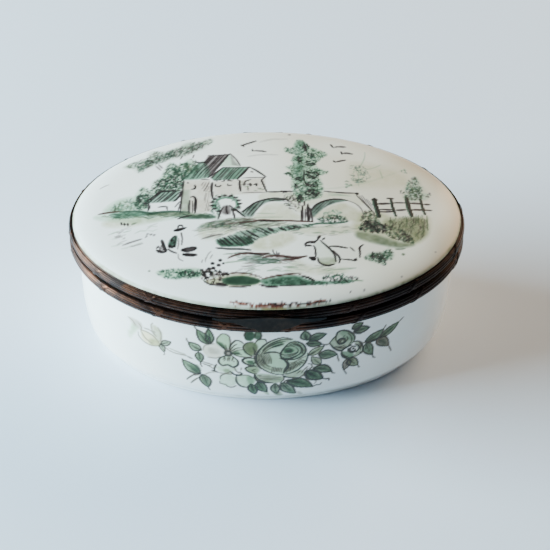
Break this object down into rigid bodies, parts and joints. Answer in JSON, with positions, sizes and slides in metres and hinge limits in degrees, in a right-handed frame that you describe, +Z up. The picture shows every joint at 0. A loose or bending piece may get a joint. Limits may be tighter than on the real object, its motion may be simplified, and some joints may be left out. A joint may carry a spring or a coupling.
{
  "type": "powder jar",
  "caption": "Low oval powder jar in white glazed ceramic, with green painted decoration, reeded metal mounts and a domed lid hinged at the back.",
  "frame": {"origin": "centre of the bowl's flat underside, on the table", "axes": "+X along the jar to the right, +Y to the hinge at the back, +Z up"},
  "size_m": [0.155, 0.1139, 0.0641],
  "materials": {
    "glazed_bowl": "glossy tin-white glaze with green painted flowers",
    "glazed_lid": "glossy tin-white glaze with a green painted landscape",
    "bedding": "matt plaster",
    "bowl_mount": "dark patinated copper alloy, reeded, copper showing where it is rubbed",
    "lid_mount": "dark patinated copper alloy, reeded, nearly black",
    "bezel": "dull brown copper alloy",
    "thumb_metal": "dark patinated sheet, smooth",
    "hinge": "dark patinated",
    "pin": "rubbed"
  },
  "bodies": {
    "base": {"base_bowl": "glazed_bowl", "base_cement": "bedding", "base_mount": "bowl_mount", "base_bezel": "bezel", "base_knuckle_left": "hinge", "base_knuckle_middle": "hinge", "base_knuckle_right": "hinge", "hinge_pin": "pin"},
    "lid": {"lid_panel": "glazed_lid", "lid_cement": "bedding", "lid_mount": "lid_mount", "thumbpiece": "thumb_metal", "lid_knuckle_left": "hinge", "lid_knuckle_right": "hinge"}
  },
  "joints": [
    {"name": "lid_hinge", "type": "hinge", "parent": "base", "child": "lid", "pos_m": [0, 0.0558, 0.0518], "axis": [-1, 0, 0], "range_deg": [0, 105]}
  ]
}
